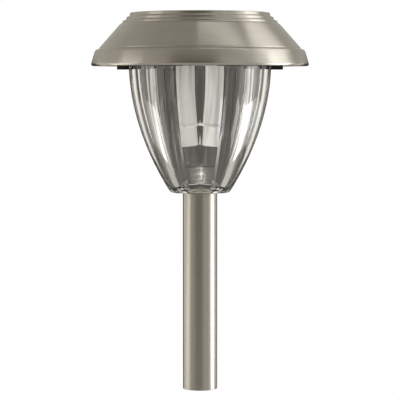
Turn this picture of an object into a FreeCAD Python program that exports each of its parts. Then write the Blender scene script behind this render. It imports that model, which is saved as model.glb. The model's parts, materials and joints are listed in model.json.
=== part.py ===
import FreeCAD, Part
import math
import os

from FreeCAD import Vector

# Solar garden light. Millimetres, +Z up along the pole's axis, origin at the centre of the pole's lower end.

# pole and the stake that is stowed in it
pole_radius = 11.1
pole_wall = 0.8
pole_bore = pole_radius - pole_wall
pole_top = 127.2
press_gap = 0.05

ferrule_bottom = 0.4
ferrule_top = 10.0
ferrule_bore = 8.5

stake_collar_radius = 9.9
stake_collar_bottom = 98.0
stake_top = 104.0
stake_fin_radius = 8.0
stake_fin_thickness = 2.4
stake_taper_top = 40.0
stake_tip = 4.0
stake_tip_radius = 1.4
stake_collar_wall = 2.0

# clear plug in the pole's top, with the ribbed spigot that the lens sits on
adapter_bottom = 106.0
adapter_hole = 6.5
spigot_core = 7.8
spigot_rib = 8.2
spigot_top = 143.2
spigot_rib_pitch = 3.0
spigot_rib_height = 1.2
spigot_first_rib = 1.2
adapter_roof = 2.0

# fluted lens
lens_bottom = 127.5
lens_shoulder = 208.5
lens_top_radius = 45.8
lens_middle_radius = 44.48
lens_bottom_radius = 19.07
lens_flutes = 18
lens_flute_depth = 2.0
lens_wall = 2.0
lens_floor = 132.5
lens_sections = 7
lens_neck_radius = 43.9
lens_neck_top = 214.1
socket_bore = 8.3
socket_outer = 9.8
socket_ceiling = 143.8
socket_top = 145.6

# bayonet between the lens and the head
bayonet_count = 3
lug_radius = 46.9
lug_bottom = 211.5
lug_top = 213.2
lug_angle = 16.0
entry_angle = 20.0
lip_bore = 44.4
channel_radius = 47.3
channel_bottom = 211.1
channel_top = 213.8
twist_angle = 25.0
stop_angle = 4.0
stop_gap_angle = 1.0

seal_inner = 41.9
seal_outer = 43.7
seal_bottom = 214.4
seal_top = 215.0

# black base of the head
base_radius = 52.6
ear_radius = 53.4
ear_inner = 46.3
ear_bottom = 206.6
ear_angle = 22.0
base_bottom = 208.8
base_flange_top = 211.0
base_wall_radius = 49.8
base_ceiling_bottom = 215.3
base_ceiling_top = 217.4
base_centre_hole = 8.0
board_post_radius = 2.5

# battery bay, its door and the cell
bay_inner_y = 14.1
bay_outer_y = 30.7
bay_half_length = 27.3
door_hinge_y = 15.2
door_hinge_z = 216.5
door_outer_y = 30.4
door_half_length = 27.0
door_thickness = 1.6
trunnion_radius = 0.7
trunnion_socket = 0.78
trunnion_length = 1.3
trunnion_socket_length = 1.5
door_tab_half = 5.0
door_tab_bottom = 213.9
bay_wall = 1.6
bay_end_top = 232.0
bay_side_top = 227.0
cell_radius = 7.0
cell_sleeve = 0.25
cell_start = -23.5
cell_end = 25.5
cell_button_radius = 2.6
contact_thickness = 0.3
contact_half = 5.0
contact_tail_half = 1.2
contact_tail_top = 234.2
cell_y = 22.8
cell_z = 225.3
spring_wire = 0.35
spring_turns = 3
spring_large = 4.6
spring_small = 2.4

# black upper housing and the solar panel on it
shell_wall = 2.0
shell_radius = 52.0
shell_straight_top = 219.5
shell_contact_low = 223.5
shell_contact_high = 231.0
shell_shoulder_radius = 47.0
shell_shoulder_z = 236.6
shell_plate_bottom = 235.2
shell_flank_run = 2.6
panel_bottom = 237.4
panel_half = 26.0
panel_thickness = 2.0
shell_rim_inner = 39.8
shell_rim_outer = 42.2
cover_seat_z = 239.8
cover_seat_inner = 37.6
cover_radius = 39.6
cover_top = 241.8
cover_dome_top = 242.5
cover_dome_radius = 36.6
window_radius = 37.0
gasket_inner = 37.3
cell_strips = 8
strip_margin = 1.5
strip_gap = 0.8
strip_thickness = 0.2
ribbon_width = 1.0
ribbon_thickness = 0.1
ribbon_y = 14.0

# pressed steel hat
hat_sheet = 0.8
hat_top = 242.9
hat_rim = 208.7
hat_radius = 70.0
flank_top = (51.3, 235.6)
flank_bottom = (64.2, 220.9)

# circuit board, lamp and light guide
board_bottom = 221.0
board_thickness = 1.2
board_half_x = 20.0
board_front_y = -32.0
board_back_y = 10.0
board_posts = ((-16, -28), (16, -28), (-16, 6), (16, 6))
board_hole_gap = 0.2
chip_corner = (-10.0, -22.0)
chip_size = (4.0, 3.4)
chip_stand = 0.2
chip_height = 1.9
chip_legs_x = (-9.5, -7.1)
chip_leg_width = 0.6
chip_leg_length = 1.2
chip_leg_height = 0.9
inductor_place = (8.0, -20.0)
inductor_radius = 3.4
winding_radius = 2.8
inductor_flange = 1.0
inductor_height = 6.3
led_radius = 2.5
led_rim = 0.4
led_tip = 211.3
led_base = 219.5
led_leg_gap = 1.27
led_leg_radius = 0.25
reflector_bottom = 204.5
reflector_radius = 8.4
reflector_flange_bottom = 214.3
reflector_lip = 0.7
reflector_flare = 4.5
reflector_throat_gap = 0.8
guide_flange_radius = 12.4
guide_flange_bottom = 210.3
guide_flange_top = 211.7
guide_top_radius = 11.0
guide_step_z = 171.0
guide_step_radius = 10.3
guide_step_bead = 11.0
guide_lower_radius = 9.8
guide_bottom = 158.0
guide_bottom_radius = 9.3
guide_wall = 1.9
retainer_radius = 13.9
retainer_bottom = 209.3
retainer_gap = 0.4
retainer_flange_gap = 0.1

# slide switch
switch_y = -24.0
switch_travel = 4.0
switch_knob_half = 1.6
switch_neck_half = 1.3
switch_knob_bottom = 213.1
switch_knob_top = 219.0
switch_slot_half = 4.2
switch_slot_half_y = 1.7
switch_body_half = 6.5
switch_body_half_y = 3.4
switch_body_bottom = 217.6
grip_grooves = (-0.8, 0, 0.8)
groove_half_width = 0.15
groove_depth = 0.4

screw_x = 36.0
screw_y = 10.0
screw_radius = 1.3
screw_clearance = 1.6
screw_head_radius = 2.6
screw_head_height = 1.5
screw_length = 9.0
recess_reach = 0.6
recess_half_width = 0.25
recess_depth = 0.55
boss_radius = 3.4
board_screw_radius = 0.9
board_screw_head = 1.9
board_screw_head_height = 1.1
board_screw_depth = 3.0

lead_radius = 0.55
panel_lead_x = 4.0
panel_lead_y = -10.0
panel_lead_drop = 5.5
panel_lead_shift = (5.0, -2.0)
panel_lead_rise = 6.0
battery_lead_x = 12.0
battery_lead_y = (14.8, 3.8)
battery_lead_rise = 6.5
battery_joint_z = 233.4

UP = Vector(0, 0, 1)
CENTRE = Vector(0, 0, 0)


def on_axis(z):
    return Vector(0, 0, z)


def cylinder(radius, bottom, top, x=0, y=0):
    return Part.makeCylinder(radius, top - bottom, Vector(x, y, bottom), UP)


def ring(outer, inner, bottom, top, x=0, y=0):
    return cylinder(outer, bottom, top, x, y).cut(cylinder(inner, bottom - 1, top + 1, x, y))


def cone(bottom_radius, top_radius, bottom, top):
    return Part.makeCone(bottom_radius, top_radius, top - bottom, on_axis(bottom), UP)


def block(x_low, x_high, y_low, y_high, z_low, z_high):
    size = (x_high - x_low, y_high - y_low, z_high - z_low)
    return Part.makeBox(size[0], size[1], size[2], Vector(x_low, y_low, z_low))


def rod(radius, start, end):
    along = end.sub(start)
    return Part.makeCylinder(radius, along.Length, start, along)


def turned(shape, angle):
    moved = shape.copy()
    moved.rotate(CENTRE, UP, angle)
    return moved


def sector(outer, inner, bottom, top, angle, middle):
    """A stretch of a ring, angle degrees wide, about the direction middle."""
    piece = Part.makeCylinder(outer, top - bottom, on_axis(bottom), UP, angle)
    piece = piece.cut(cylinder(inner, bottom - 1, top + 1))
    return turned(piece, middle - angle / 2)


def rounded_edges(points, radii, closed=False):
    """Straight runs joined by tangent arcs, one radius for each point."""
    count = len(points)
    edges = []
    starts = []
    ends = []
    for index, point in enumerate(points):
        radius = radii[index]
        at_end = not closed and index in (0, count - 1)
        if radius == 0 or at_end:
            starts.append(point)
            ends.append(point)
            continue
        back = points[index - 1].sub(point).normalize()
        ahead = points[(index + 1) % count].sub(point).normalize()
        opening = back.getAngle(ahead)
        reach = radius / math.tan(opening / 2)
        first = point.add(back.multiply(reach))
        last = point.add(ahead.multiply(reach))
        bisector = first.add(last).multiply(0.5).sub(point).normalize()
        middle = point.add(bisector.multiply(radius / math.sin(opening / 2) - radius))
        edges.append((index, Part.Arc(first, middle, last).toShape()))
        starts.append(first)
        ends.append(last)
    runs = count if closed else count - 1
    for index in range(runs):
        start = ends[index]
        end = starts[(index + 1) % count]
        if start.distanceToPoint(end) > 1e-6:
            edges.append((index + 0.5, Part.LineSegment(start, end).toShape()))
    edges.sort(key=lambda item: item[0])
    return [edge for order, edge in edges]


def revolved(outline):
    """A solid of revolution about Z. The outline is (radius, height, corner radius), in order, closed."""
    points = [Vector(radius, 0, height) for radius, height, corner in outline]
    corners = [corner for radius, height, corner in outline]
    edges = rounded_edges(points, corners, closed=True)
    face = Part.Face(Part.Wire(Part.__sortEdges__(edges)))
    return face.revolve(CENTRE, UP, 360)


def sheet_outline(outer, thickness):
    """Closes a pressed sheet: the outer line, then the same line moved in by the thickness."""
    inner = []
    last = len(outer) - 1
    for index, (radius, height, corner) in enumerate(outer):
        before = outer[max(index - 1, 0)]
        after = outer[min(index + 1, last)]
        turns = []
        for first, second in ((before, outer[index]), (outer[index], after)):
            run = (second[0] - first[0], second[1] - first[1])
            length = math.hypot(run[0], run[1])
            if length > 0:
                turns.append((run[1] / length, -run[0] / length))
        if len(turns) == 1:
            turns.append(turns[0])
        share = 1 + turns[0][0] * turns[1][0] + turns[0][1] * turns[1][1]
        shift = [(turns[0][axis] + turns[1][axis]) * thickness / share for axis in (0, 1)]
        cross = turns[0][0] * turns[1][1] - turns[0][1] * turns[1][0]
        inner_corner = corner + thickness if cross > 0 else max(corner - thickness, 0.0)
        if corner == 0:
            inner_corner = 0.0
        inner.append((radius + shift[0], height + shift[1], inner_corner))
    return outer + inner[::-1]


def export(name, shape):
    if not shape.isValid():
        raise ValueError(name + " is not a valid shape")
    solids = shape.Solids
    kept = solids[0] if len(solids) == 1 else Part.makeCompound(solids)
    kept.exportStep(os.path.join("parts", name + ".step"))
    print(name, len(solids), "solids", round(kept.Volume, 1), "mm3")


# ---- pole, stake and adapter


def make_pole_tube():
    return ring(pole_radius, pole_bore, 0, pole_top)


def make_pole_ferrule():
    return ring(pole_bore - press_gap, ferrule_bore, ferrule_bottom, ferrule_top)


def make_ground_stake():
    """Cross-section spike, tip down, with the collar that stops it in the ferrule."""
    half = stake_fin_thickness / 2
    outline = [
        Vector(-stake_fin_radius, -half, stake_collar_bottom),
        Vector(-stake_fin_radius, -half, stake_taper_top),
        Vector(-stake_tip_radius, -half, stake_tip),
        Vector(stake_tip_radius, -half, stake_tip),
        Vector(stake_fin_radius, -half, stake_taper_top),
        Vector(stake_fin_radius, -half, stake_collar_bottom),
    ]
    face = Part.Face(Part.makePolygon(outline + outline[:1]))
    fin = face.extrude(Vector(0, stake_fin_thickness, 0))
    fins = fin.fuse(turned(fin, 90))
    round_limit = cylinder(stake_fin_radius + 0.1, stake_tip, stake_collar_bottom)
    collar = cylinder(stake_collar_radius, stake_collar_bottom, stake_top)
    hollow = cylinder(stake_collar_radius - stake_collar_wall, stake_collar_bottom + stake_collar_wall,
                      stake_top + 1)
    return fins.common(round_limit).fuse(collar.cut(hollow)).removeSplitter()


def make_pole_adapter():
    """Clear plug pressed into the pole, with a ribbed spigot above it."""
    plug = cylinder(pole_bore - press_gap, adapter_bottom, pole_top)
    spigot = cylinder(spigot_core, pole_top, spigot_top)
    body = plug.fuse(spigot)
    ribs = int((spigot_top - pole_top - 1) / spigot_rib_pitch)
    for index in range(ribs):
        bottom = pole_top + spigot_first_rib + index * spigot_rib_pitch
        body = body.fuse(ring(spigot_rib, spigot_core - 0.5, bottom, bottom + spigot_rib_height))
    hollow = cylinder(adapter_hole, adapter_bottom - 1, spigot_top - adapter_roof)
    return body.cut(hollow).removeSplitter()


# ---- lens


def lens_radius(height):
    """Radius of the bowl at a height: a parabola through the top, the middle and the bottom."""
    share = (lens_shoulder - height) / (lens_shoulder - lens_bottom)
    share = min(max(share, 0), 1)
    top = lens_top_radius * (1 - share) ** 2
    middle = 2 * lens_middle_radius * share * (1 - share)
    return top + middle + lens_bottom_radius * share ** 2


def flute_wire(height):
    """One level of the fluted skin: arcs that bulge outwards and meet in sharp valleys."""
    crest = lens_radius(height)
    valley = crest - lens_flute_depth * crest / lens_top_radius
    step = 2 * math.pi / lens_flutes
    edges = []
    for index in range(lens_flutes):
        ends = []
        for turn in (index - 0.5, index, index + 0.5):
            radius = crest if turn == index else valley
            angle = turn * step + step / 2
            ends.append(Vector(radius * math.sin(angle), -radius * math.cos(angle), height))
        edges.append(Part.Arc(ends[0], ends[1], ends[2]).toShape())
    return Part.Wire(edges)


def make_lens_bowl():
    """Fluted outside, smooth inside, with a socket in its floor and bayonet lugs on its neck."""
    levels = [
        lens_bottom + (lens_shoulder - lens_bottom) * index / (lens_sections - 1)
        for index in range(lens_sections)
    ]
    outside = Part.makeLoft([flute_wire(level) for level in levels], True, False)
    inner_points = []
    for index in range(lens_sections):
        height = lens_floor + (lens_shoulder - 1 - lens_floor) * index / (lens_sections - 1)
        radius = lens_radius(height) - lens_wall - lens_flute_depth
        inner_points.append(Vector(radius, 0, height))
    curve = Part.BSplineCurve()
    curve.interpolate(inner_points)
    low = inner_points[0]
    high = inner_points[-1]
    neck_inner = lens_neck_radius - lens_wall
    neck_low = Vector(neck_inner, 0, lens_shoulder)
    neck_high = Vector(neck_inner, 0, lens_neck_top + 1)
    edges = [
        curve.toShape(),
        Part.LineSegment(high, neck_low).toShape(),
        Part.LineSegment(neck_low, neck_high).toShape(),
        Part.LineSegment(neck_high, on_axis(lens_neck_top + 1)).toShape(),
        Part.LineSegment(on_axis(lens_neck_top + 1), on_axis(lens_floor)).toShape(),
        Part.LineSegment(on_axis(lens_floor), low).toShape(),
    ]
    hollow = Part.Face(Part.Wire(edges)).revolve(CENTRE, UP, 360)
    body = outside.fuse(cylinder(lens_neck_radius, lens_shoulder - 1, lens_neck_top)).cut(hollow)
    body = body.fuse(cylinder(socket_outer, lens_floor - 1, socket_top))
    body = body.cut(cylinder(socket_bore, lens_bottom - 1, socket_ceiling))
    for index in range(bayonet_count):
        lug = sector(lug_radius, lens_neck_radius - 1, lug_bottom, lug_top, lug_angle, 90 + index * 120)
        body = body.fuse(lug)
    return body.removeSplitter()


def make_lens_seal():
    return ring(seal_outer, seal_inner, seal_bottom, seal_top)


# ---- base of the head


def make_base_disc():
    """Black disc with two ears at its sides, the bayonet collar, the battery bay and the board's posts."""
    body = revolved([
        (lip_bore, base_bottom, 0),
        (base_radius, base_bottom, 0.6),
        (base_radius, base_flange_top, 0.4),
        (base_wall_radius, base_flange_top, 0),
        (base_wall_radius, base_ceiling_top, 0),
        (0, base_ceiling_top, 0),
        (0, base_ceiling_bottom, 0),
        (lip_bore, base_ceiling_bottom, 0),
        (lip_bore, channel_top, 0),
        (channel_radius, channel_top, 0),
        (channel_radius, channel_bottom, 0),
        (lip_bore, channel_bottom, 0),
    ])
    far_stop = lug_angle / 2 + twist_angle + stop_gap_angle + stop_angle / 2
    near_stop = lug_angle / 2 + stop_gap_angle + stop_angle / 2
    for index in range(bayonet_count):
        middle = 90 + index * 120
        entry = sector(channel_radius, lip_bore - 1, base_bottom - 1, channel_bottom + 0.1,
                       entry_angle, middle)
        body = body.cut(entry)
        for offset in (-far_stop, near_stop):
            stop = sector(channel_radius + 0.3, lip_bore, channel_bottom - 0.3, channel_top + 0.3,
                          stop_angle, middle + offset)
            body = body.fuse(stop)
    for middle in (0, 180):
        body = body.fuse(sector(ear_radius, ear_inner, ear_bottom, base_flange_top, ear_angle, middle))
    body = body.cut(cylinder(base_centre_hole, base_ceiling_bottom - 1, base_ceiling_top + 1))
    body = body.cut(block(-bay_half_length, bay_half_length, bay_inner_y, bay_outer_y,
                          base_ceiling_bottom - 1, base_ceiling_top + 1))
    body = body.cut(block(-switch_slot_half, switch_slot_half, switch_y - switch_slot_half_y,
                          switch_y + switch_slot_half_y, base_ceiling_bottom - 1, base_ceiling_top + 1))
    for side in (-1, 1):
        end_low = min(side * bay_half_length, side * (bay_half_length + bay_wall))
        body = body.fuse(block(end_low, end_low + bay_wall, bay_inner_y, bay_outer_y,
                               base_ceiling_top - 0.5, bay_end_top))
        socket_start = Vector(side * (bay_half_length - 0.5), door_hinge_y, door_hinge_z)
        socket_end = Vector(side * (bay_half_length + trunnion_socket_length), door_hinge_y, door_hinge_z)
        body = body.cut(rod(trunnion_socket, socket_start, socket_end))
    wall_half = bay_half_length + bay_wall
    for wall_low in (bay_inner_y - bay_wall, bay_outer_y):
        body = body.fuse(block(-wall_half, wall_half, wall_low, wall_low + bay_wall,
                               base_ceiling_top - 0.5, bay_side_top))
    for x, y in board_posts:
        post = ring(board_post_radius, board_screw_radius, base_ceiling_top - 0.2, board_bottom, x, y)
        body = body.fuse(post)
    for x in (-screw_x, screw_x):
        for y in (-screw_y, screw_y):
            body = body.cut(cylinder(screw_clearance, base_ceiling_bottom - 1, base_ceiling_top + 1, x, y))
    return body.removeSplitter()


def pan_screw(x, y, seat, radius, length, head_radius, head_height, upward):
    """A cross-head screw; upward says which way the shank points from the seat."""
    way = 1 if upward else -1
    shank = rod(radius, Vector(x, y, seat), Vector(x, y, seat + way * length))
    head = rod(head_radius, Vector(x, y, seat), Vector(x, y, seat - way * head_height))
    slot_half = head_radius * recess_reach
    head_end = seat - way * head_height
    recess_end = head_end + way * head_height * recess_depth
    slot_low = min(head_end, recess_end)
    slot_high = max(head_end, recess_end)
    screw = shank.fuse(head)
    for half_x, half_y in ((slot_half, recess_half_width), (recess_half_width, slot_half)):
        screw = screw.cut(block(x - half_x, x + half_x, y - half_y, y + half_y, slot_low, slot_high))
    return screw.removeSplitter()


def make_housing_screws():
    screws = []
    for x in (-screw_x, screw_x):
        for y in (-screw_y, screw_y):
            screws.append(pan_screw(x, y, base_ceiling_bottom, screw_radius, screw_length,
                                    screw_head_radius, screw_head_height, True))
    return Part.makeCompound(screws)


def make_board_screws():
    seat = board_bottom + board_thickness
    return Part.makeCompound([
        pan_screw(x, y, seat, board_screw_radius, board_screw_depth,
                  board_screw_head, board_screw_head_height, False)
        for x, y in board_posts
    ])


def make_battery_door():
    """Flap over the battery bay: a plate with a rounded hinge edge, two trunnions and a thumb tab."""
    half = door_thickness / 2
    low = door_hinge_z - half
    high = door_hinge_z + half
    plate = block(-door_half_length, door_half_length, door_hinge_y, door_outer_y, low, high)
    edge = rod(half, Vector(-door_half_length, door_hinge_y, door_hinge_z),
               Vector(door_half_length, door_hinge_y, door_hinge_z))
    reach = door_half_length + trunnion_length
    trunnions = rod(trunnion_radius, Vector(-reach, door_hinge_y, door_hinge_z),
                    Vector(reach, door_hinge_y, door_hinge_z))
    tab = block(-door_tab_half, door_tab_half, door_outer_y - 2.0, door_outer_y - 0.4, door_tab_bottom, low)
    return plate.fuse([edge, trunnions, tab]).removeSplitter()


# ---- upper housing, panel and hat


def hat_inner_radius(height):
    """Inside of the hat's conical flank at a height."""
    run = flank_bottom[0] - flank_top[0]
    drop = flank_top[1] - flank_bottom[1]
    length = math.hypot(run, drop)
    start_radius = flank_top[0] - hat_sheet * drop / length
    start_height = flank_top[1] - hat_sheet * run / length
    return start_radius + (start_height - height) * run / drop


def make_housing_shell():
    """Black cup under the hat: it bears on the hat's flank and carries the panel on its top plate."""
    low = hat_inner_radius(shell_contact_low)
    high = hat_inner_radius(shell_contact_high)
    body = revolved([
        (shell_radius - shell_wall, base_flange_top, 0),
        (shell_radius, base_flange_top, 0),
        (shell_radius, shell_straight_top, 0),
        (low, shell_contact_low, 0),
        (high, shell_contact_high, 0),
        (shell_shoulder_radius, shell_shoulder_z, 0),
        (shell_rim_outer, panel_bottom, 0),
        (shell_rim_outer, hat_top - hat_sheet, 0),
        (shell_rim_inner, hat_top - hat_sheet, 0),
        (shell_rim_inner, cover_seat_z, 0),
        (cover_seat_inner, cover_seat_z, 0),
        (cover_seat_inner, panel_bottom, 0),
        (0, panel_bottom, 0),
        (0, shell_plate_bottom, 0),
        (shell_shoulder_radius - shell_wall, shell_plate_bottom, 0),
        (high - shell_flank_run, shell_contact_high - 1.0, 0),
        (low - shell_flank_run, shell_contact_low + 0.9, 0),
        (shell_radius - shell_wall, shell_straight_top + 0.8, 0),
    ])
    for x in (-screw_x, screw_x):
        for y in (-screw_y, screw_y):
            body = body.fuse(cylinder(boss_radius, base_ceiling_top, shell_plate_bottom + 0.5, x, y))
            pilot_top = base_ceiling_bottom + screw_length + 0.5
            body = body.cut(cylinder(screw_radius, base_ceiling_top - 1, pilot_top, x, y))
    for x in (-panel_lead_x, panel_lead_x):
        hole = cylinder(lead_radius + 0.6, shell_plate_bottom - 1, panel_bottom + 1, x, panel_lead_y)
        body = body.cut(hole)
    return body.removeSplitter()


def make_solar_panel():
    top = panel_bottom + panel_thickness
    return block(-panel_half, panel_half, -panel_half, panel_half, panel_bottom, top)


def make_solar_cells():
    """Silicon strips side by side, with a gap between each two."""
    span = 2 * (panel_half - strip_margin)
    pitch = (span + strip_gap) / cell_strips
    half_span = span / 2
    bottom = panel_bottom + panel_thickness
    top = bottom + strip_thickness
    strips = []
    for index in range(cell_strips):
        left = -half_span + index * pitch
        strips.append(block(left, left + pitch - strip_gap, -half_span, half_span, bottom, top))
    return Part.makeCompound(strips)


def make_cell_ribbons():
    bottom = panel_bottom + panel_thickness + strip_thickness
    top = bottom + ribbon_thickness
    reach = panel_half - strip_margin - 1
    half_width = ribbon_width / 2
    return Part.makeCompound([
        block(-reach, reach, y - half_width, y + half_width, bottom, top)
        for y in (-ribbon_y, ribbon_y)
    ])


def make_panel_cover():
    return revolved([
        (0, cover_seat_z, 0),
        (cover_radius, cover_seat_z, 0),
        (cover_radius, cover_top, 0),
        (cover_dome_radius, cover_top, 0),
        (cover_dome_radius, cover_dome_top, 0.3),
        (0, cover_dome_top, 0),
    ])


def make_panel_gasket():
    return ring(cover_radius, gasket_inner, cover_top, hat_top - hat_sheet)


def make_hat_shade():
    """Pressed steel hat: window flange, three ring steps, conical flank, shoulder and skirt with a hem."""
    return revolved(sheet_outline([
        (window_radius, hat_top, 0),
        (44.7, hat_top, 0.9),
        (45.3, 240.6, 0.5),
        (47.0, 240.2, 0.9),
        (47.6, 238.2, 0.5),
        (49.5, 237.8, 0.9),
        (50.1, 236.1, 0.4),
        (flank_top[0], flank_top[1], 0.9),
        (flank_bottom[0], flank_bottom[1], 0.5),
        (67.5, 217.6, 1.4),
        (hat_radius, hat_rim + 1.3, 1.2),
        (69.3, hat_rim, 0),
    ], hat_sheet))


# ---- electronics


def make_circuit_board():
    board = block(-board_half_x, board_half_x, board_front_y, board_back_y,
                  board_bottom, board_bottom + board_thickness)
    for x, y in board_posts:
        hole_radius = board_screw_radius + board_hole_gap
        board = board.cut(cylinder(hole_radius, board_bottom - 1, board_bottom + 3, x, y))
    for x in (-led_leg_gap, led_leg_gap):
        hole_radius = led_leg_radius + board_hole_gap
        board = board.cut(cylinder(hole_radius, board_bottom - 1, board_bottom + 3, x, 0))
    return board


def make_driver_chip():
    """Small four-legged driver, flat on the board."""
    top = board_bottom + board_thickness
    x_low, y_low = chip_corner
    y_high = y_low + chip_size[1]
    body = block(x_low, x_low + chip_size[0], y_low, y_high, top + chip_stand, top + chip_height)
    for x in chip_legs_x:
        for leg_low in (y_low - chip_leg_length, y_high):
            leg_high = leg_low + chip_leg_length
            body = body.fuse(block(x, x + chip_leg_width, leg_low, leg_high, top, top + chip_leg_height))
    return body.removeSplitter()


def make_inductor():
    """Drum core with its winding between two flanges."""
    top = board_bottom + board_thickness
    slope = inductor_flange + 0.3
    drum = revolved([
        (0, 0, 0),
        (inductor_radius, 0, 0.3),
        (inductor_radius, inductor_flange, 0.2),
        (winding_radius, slope, 0),
        (winding_radius, inductor_height - slope, 0),
        (inductor_radius, inductor_height - inductor_flange, 0.2),
        (inductor_radius, inductor_height, 0.3),
        (0, inductor_height, 0),
    ])
    drum.translate(Vector(inductor_place[0], inductor_place[1], top))
    return drum


def make_led_lamp():
    """Five millimetre lamp, lens down."""
    body = cylinder(led_radius, led_tip + led_radius, led_base)
    dome = Part.makeSphere(led_radius, on_axis(led_tip + led_radius))
    rim = cylinder(led_radius + led_rim, led_base - 1, led_base)
    return body.fuse([dome, rim]).removeSplitter()


def make_led_legs():
    top = board_bottom + board_thickness + 0.8
    return Part.makeCompound([
        cylinder(led_leg_radius, led_base, top, x)
        for x in (-led_leg_gap, led_leg_gap)
    ])


def make_reflector_cup():
    """Cup round the lamp: a flange under the ceiling, a neck, and a flared mouth inside the guide."""
    throat = led_radius + reflector_throat_gap
    return revolved([
        (throat, base_ceiling_bottom, 0),
        (guide_flange_radius, base_ceiling_bottom, 0),
        (guide_flange_radius, reflector_flange_bottom, 0),
        (reflector_radius, reflector_flange_bottom - 1, 0),
        (reflector_radius, reflector_bottom, 0),
        (reflector_radius - reflector_lip, reflector_bottom, 0),
        (reflector_radius - 1.6, reflector_bottom + reflector_flare, 0),
        (throat, reflector_flange_bottom - 1.6, 0),
    ])


def make_guide_retainer():
    """Ring that hooks under the guide's flange and is welded to the ceiling."""
    return revolved([
        (guide_top_radius + retainer_gap, retainer_bottom, 0),
        (retainer_radius, retainer_bottom, 0.5),
        (retainer_radius, base_ceiling_bottom, 0),
        (guide_flange_radius + retainer_flange_gap, base_ceiling_bottom, 0),
        (guide_flange_radius + retainer_flange_gap, guide_flange_bottom, 0),
        (guide_top_radius + retainer_gap, guide_flange_bottom, 0),
    ])


def make_light_guide():
    """Clear tapered tube with a closed end, a bead at its step and a flange at its top."""
    return revolved([
        (guide_top_radius - guide_wall, guide_flange_top, 0),
        (guide_flange_radius, guide_flange_top, 0),
        (guide_flange_radius, guide_flange_bottom, 0),
        (guide_top_radius, guide_flange_bottom, 0),
        (guide_step_radius, guide_step_z + 1, 0.2),
        (guide_step_bead, guide_step_z + 0.8, 0.3),
        (guide_step_bead, guide_step_z - 0.6, 0.3),
        (guide_lower_radius, guide_step_z - 0.9, 0.2),
        (guide_bottom_radius, guide_bottom, 1.0),
        (0, guide_bottom, 0),
        (0, guide_bottom + guide_wall, 0),
        (guide_bottom_radius - guide_wall, guide_bottom + guide_wall, 0.6),
    ])


def make_switch_body():
    """Slide switch under the board, open below for its slider."""
    body = block(-switch_body_half, switch_body_half, switch_y - switch_body_half_y,
                 switch_y + switch_body_half_y, switch_body_bottom, board_bottom)
    return body.cut(block(-switch_slot_half, switch_slot_half, switch_y - switch_slot_half_y,
                          switch_y + switch_slot_half_y, switch_body_bottom - 1, switch_knob_top + 0.5))


def make_switch_slider():
    """Slider at its off end, with a ribbed grip below the ceiling."""
    centre = -switch_travel / 2
    slider = block(centre - switch_knob_half, centre + switch_knob_half, switch_y - switch_neck_half,
                   switch_y + switch_neck_half, switch_knob_bottom, switch_knob_top)
    for offset in grip_grooves:
        groove = block(centre + offset - groove_half_width, centre + offset + groove_half_width,
                       switch_y - 3, switch_y + 3, switch_knob_bottom - 1, switch_knob_bottom + groove_depth)
        slider = slider.cut(groove)
    return slider


def make_battery_can():
    body = rod(cell_radius, Vector(cell_start, cell_y, cell_z), Vector(cell_end, cell_y, cell_z))
    button_end = bay_half_length - contact_thickness
    button = rod(cell_button_radius, Vector(cell_end, cell_y, cell_z), Vector(button_end, cell_y, cell_z))
    return body.fuse(button).removeSplitter()


def make_battery_sleeve():
    start = Vector(cell_start + 0.3, cell_y, cell_z)
    end = Vector(cell_end - 0.5, cell_y, cell_z)
    return rod(cell_radius + cell_sleeve, start, end).cut(rod(cell_radius, start, end))


def make_contact_plate(side):
    """Nickel plate on one end wall of the bay, with its solder tail above the wall."""
    outer = side * bay_half_length
    inner = side * (bay_half_length - contact_thickness)
    low = min(outer, inner)
    plate = block(low, low + contact_thickness, cell_y - contact_half, cell_y + contact_half,
                  cell_z - contact_half, cell_z + contact_half)
    tail = block(low, low + contact_thickness, cell_y - contact_tail_half, cell_y + contact_tail_half,
                 cell_z + contact_half, contact_tail_top)
    return plate.fuse(tail).removeSplitter()


def make_contact_spring():
    """Conical spring between the negative plate and the flat end of the cell."""
    start = -bay_half_length + contact_thickness + spring_wire
    length = cell_start - start - spring_wire
    steps = spring_turns * 12
    points = []
    for index in range(steps + 1):
        share = index / steps
        turn = 2 * math.pi * spring_turns * share
        radius = spring_large + (spring_small - spring_large) * share
        across = radius * math.cos(turn)
        points.append(Vector(start + length * share, cell_y + across, cell_z + radius * math.sin(turn)))
    curve = Part.BSplineCurve()
    curve.interpolate(points)
    path = Part.Wire(curve.toShape())
    tangent = curve.tangent(curve.FirstParameter)[0]
    section = Part.Wire(Part.makeCircle(spring_wire, points[0], tangent))
    return path.makePipeShell([section], True, True)


def lead(name, points):
    """A soft wire: straight runs joined by arcs as large as the runs allow."""
    vectors = [Vector(x, y, z) for x, y, z in points]
    radii = [0.0]
    for index in range(1, len(vectors) - 1):
        back = vectors[index - 1].sub(vectors[index])
        ahead = vectors[index + 1].sub(vectors[index])
        half_turn = (math.pi - back.getAngle(ahead)) / 2
        radii.append(0.45 * min(back.Length, ahead.Length) / math.tan(half_turn))
    radii.append(0.0)
    path = Part.Wire(rounded_edges(vectors, radii))
    direction = vectors[1].sub(vectors[0])
    section = Part.Wire(Part.makeCircle(lead_radius, vectors[0], direction))
    tube = path.makePipeShell([section], True, False)
    expected = math.pi * lead_radius ** 2 * path.Length
    print(name, "length", round(path.Length, 1), "radii", [round(radius, 1) for radius in radii[1:-1]],
          "volume", round(tube.Volume, 2), "expected", round(expected, 2))
    return tube


def make_panel_lead(name, side):
    board_top = board_bottom + board_thickness
    end_x = panel_lead_x + panel_lead_shift[0]
    end_y = panel_lead_y + panel_lead_shift[1]
    return lead(name, [
        (side * panel_lead_x, panel_lead_y, panel_bottom),
        (side * panel_lead_x, panel_lead_y, panel_bottom - panel_lead_drop),
        (side * end_x, end_y, board_top + panel_lead_rise),
        (side * end_x, end_y, board_top),
    ])


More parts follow.
